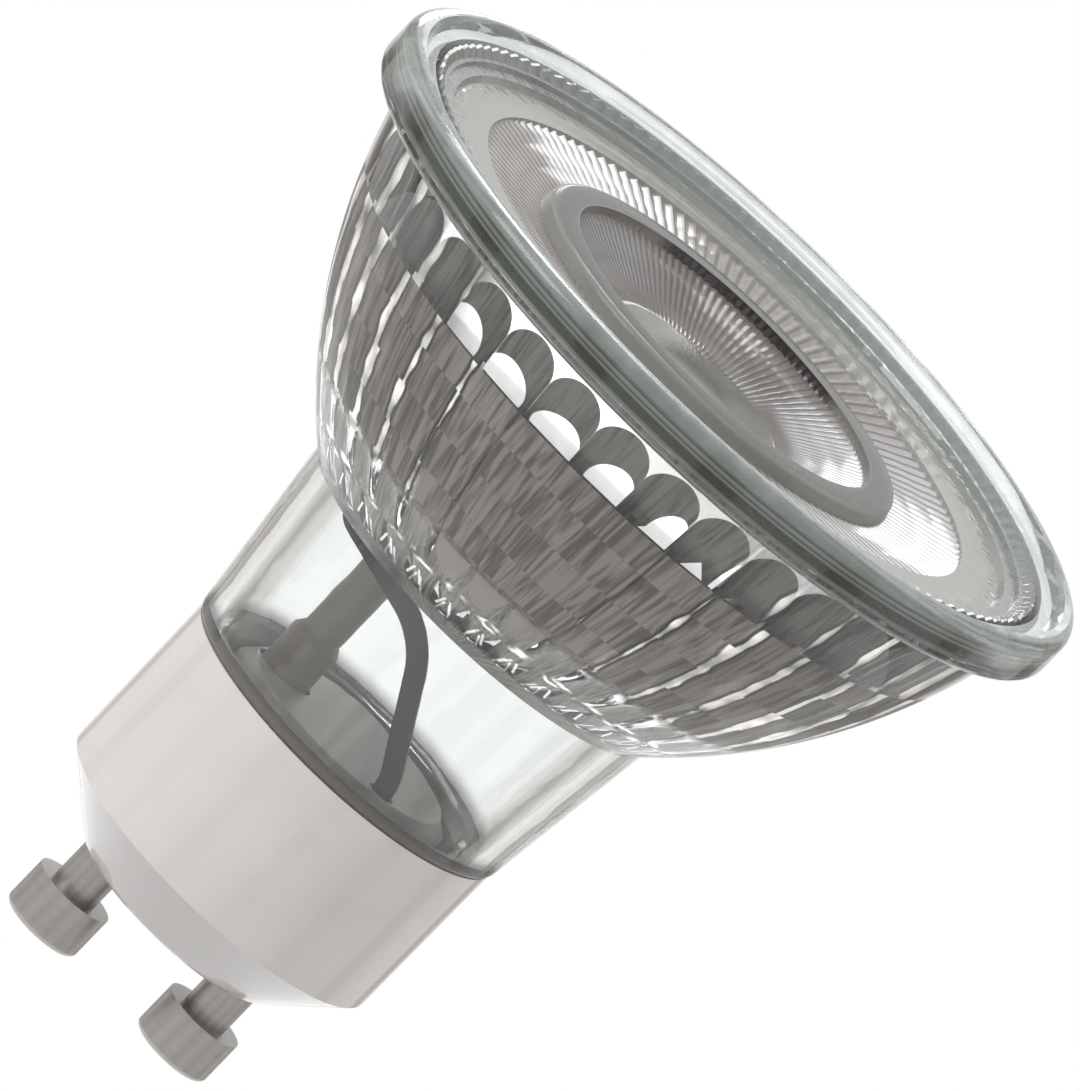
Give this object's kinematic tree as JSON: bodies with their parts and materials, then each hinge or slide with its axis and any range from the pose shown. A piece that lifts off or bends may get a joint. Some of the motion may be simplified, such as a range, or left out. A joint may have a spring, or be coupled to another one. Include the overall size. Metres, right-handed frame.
{
  "type": "reflector spotlight bulb",
  "caption": "Reflector spotlight bulb: a faceted clear glass cup with a rimmed front lens, a glass neck, and a pale moulded cap with twist-lock contact pins.",
  "frame": {"origin": "midway between the two contact pins, in the flat bottom face of the base cap", "axes": "+Z along the light beam, out of the front lens; the pins point down -Z and stand in line along X; +Y completes the frame"},
  "size_m": [0.05, 0.05, 0.0528],
  "materials": {
    "white_moulding": "satin moulded",
    "nickel": "matte nickel plate",
    "cement": "cured cement",
    "pressed_glass": "clear pressed glass",
    "spreader_metal": "spun, dark satin",
    "pad": "matte",
    "board_face": "white solder mask",
    "board_laminate": "green laminate",
    "ceramic": "sintered ceramic",
    "phosphor": "soft yellow resin",
    "screw_steel": "zinc plate",
    "black_epoxy": "moulded epoxy",
    "solder": "reflowed",
    "seal": "clear elastomer",
    "lens_plastic": "clear moulded plastic",
    "lead_jacket": "dark grey insulation",
    "sleeve": "shrink tube",
    "strip_metal": "tinned strip",
    "cover_grey": "grey moulding",
    "can": "drawn can",
    "ferrite": "sintered ferrite",
    "copper": "enamelled wire",
    "resistor_body": "lacquered"
  },
  "bodies": {
    "root": {"glass_body": "pressed_glass", "front_lens": "lens_plastic", "lens_seal": "seal", "base_cap": "white_moulding", "contact_pin_live": "nickel", "contact_pin_neutral": "nickel", "neck_cement": "cement", "heat_spreader": "spreader_metal", "thermal_pad": "pad", "led_board": "board_face", "led_package": "ceramic", "led_phosphor": "phosphor", "board_screws": "screw_steel", "led_chip_resistors": "black_epoxy", "led_solder_live": "solder", "led_solder_neutral": "solder", "driver_board": "board_laminate", "pin_solder_live": "solder", "pin_solder_neutral": "solder", "live_lead": "lead_jacket", "live_lead_sleeve": "sleeve", "neutral_strip": "strip_metal", "strip_solder": "solder", "insulating_cover": "cover_grey", "bulk_capacitor": "can", "inductor_core": "ferrite", "inductor_winding": "copper", "fusible_resistor": "resistor_body", "bridge_rectifier": "black_epoxy", "driver_chip": "black_epoxy"}
  },
  "joints": []
}
